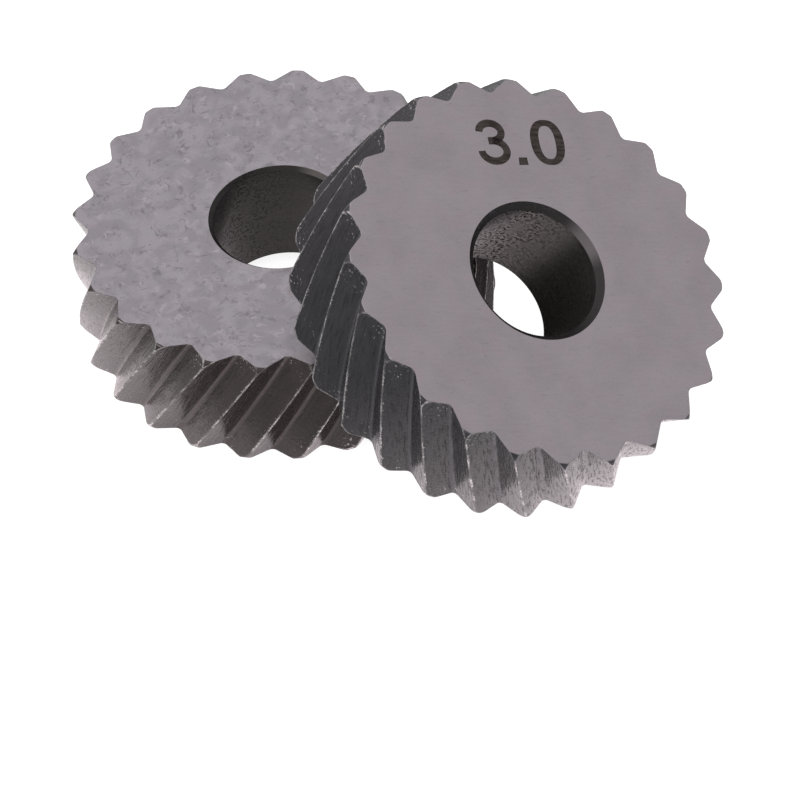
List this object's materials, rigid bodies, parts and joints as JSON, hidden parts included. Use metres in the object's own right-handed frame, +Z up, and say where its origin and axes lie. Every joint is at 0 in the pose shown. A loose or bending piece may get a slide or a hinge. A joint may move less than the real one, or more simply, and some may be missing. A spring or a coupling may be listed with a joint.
{
  "type": "knurling wheel pair",
  "caption": "Matched left-hand and right-hand diagonal knurling wheels with helical V teeth, bevelled edges and plain pin bores, the front wheel leaning on the rear wheel.",
  "frame": {"origin": "centre of the rear wheel's underside, on its bore's axis, at the surface that it lies on", "axes": "+Z up along the rear wheel's bore, +X to the right and +Y away from the viewer of the picture"},
  "size_m": [0.0382, 0.0356, 0.0202],
  "materials": {
    "tool_steel": "satin ground faces, darker machined teeth"
  },
  "bodies": {
    "rear_wheel": {"rear_knurl_wheel": "tool_steel"},
    "front_wheel": {"front_knurl_wheel": "tool_steel"}
  },
  "joints": [
    {"name": "front_wheel_lift", "type": "slide", "parent": "rear_wheel", "child": "front_wheel", "axis": [0.4652, -0.2998, 0.8329], "range_m": [0, 0.03]}
  ]
}
